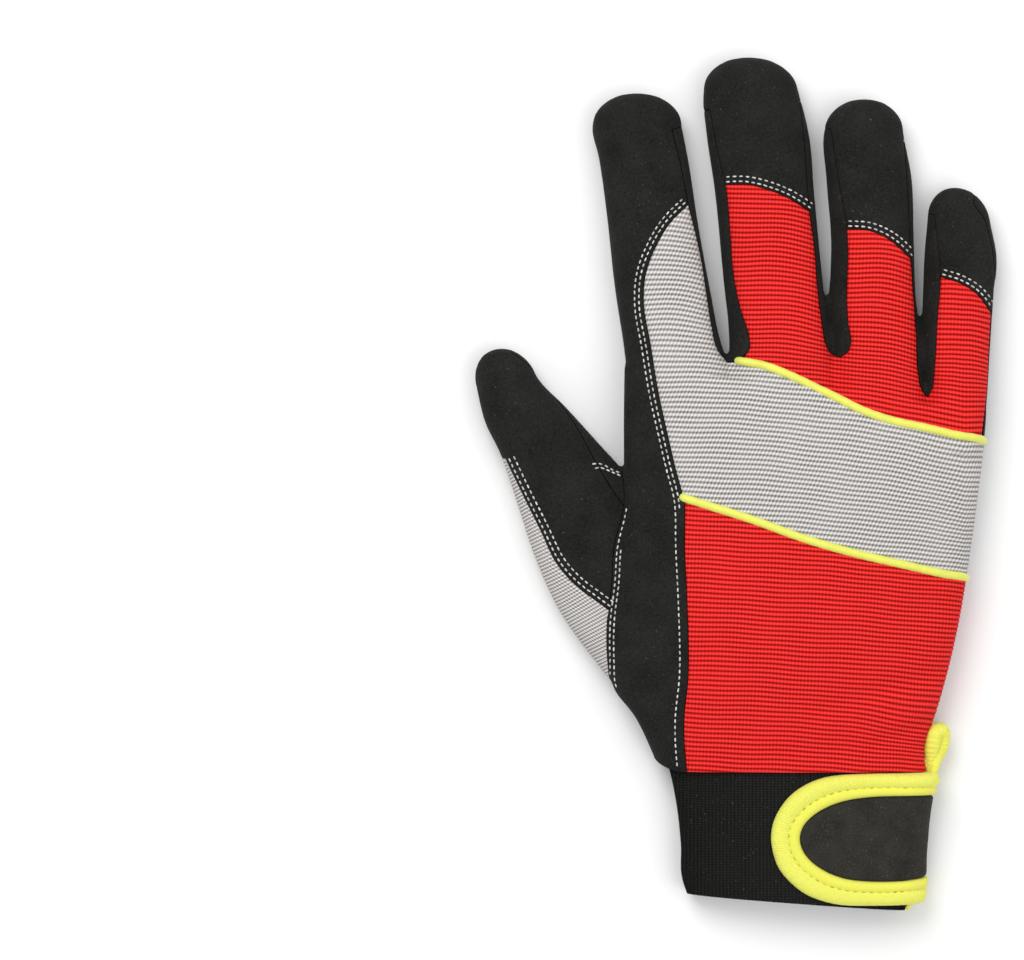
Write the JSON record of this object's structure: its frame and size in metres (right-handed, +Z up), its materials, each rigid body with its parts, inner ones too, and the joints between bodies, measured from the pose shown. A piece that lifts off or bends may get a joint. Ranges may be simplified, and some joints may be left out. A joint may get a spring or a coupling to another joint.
{
  "type": "work glove",
  "caption": "Right-hand work glove with suede palm, ribbed elastic back, piped seams, stitched palm pads and knitted cuff with a bound wrist strap.",
  "frame": {"origin": "on the surface the glove lies on, under the middle of its outline", "axes": "+Y from the wrist to the fingertips, +X from the thumb side to the little finger side, +Z up out of the back of the hand"},
  "size_m": [0.159, 0.2612, 0.0249],
  "materials": {
    "black_suede": "matt synthetic suede, fine nap",
    "black_knit": "fine ribbed cuff knit, matt",
    "strap_loop": "brushed loop tape, matt",
    "red_rib": "ribbed elastic cloth, soft sheen",
    "grey_rib": "ribbed elastic cloth, soft sheen",
    "yellow_piping": "smooth piping cord",
    "yellow_binding": "knitted binding tape"
  },
  "bodies": {
    "root": {"palm_panel": "black_suede", "middle_front": "black_suede", "ring_front": "black_suede", "index_middle_fourchette": "black_suede", "middle_ring_fourchette": "black_suede", "ring_little_fourchette": "black_suede", "middle_cap": "black_suede", "ring_cap": "black_suede", "little_cap": "black_suede", "back_grey_panel": "grey_rib", "back_red_upper": "red_rib", "back_red_lower": "red_rib", "piping_upper": "yellow_piping", "piping_lower": "yellow_piping", "thumb_front": "black_suede", "thumb_back_black": "black_suede", "thumb_back_grey": "grey_rib", "palm_pad_knuckle": "black_suede", "palm_pad_heel": "black_suede", "cuff": "black_knit", "strap": "strap_loop", "strap_binding": "yellow_binding", "slit_binding": "yellow_binding"}
  },
  "joints": []
}
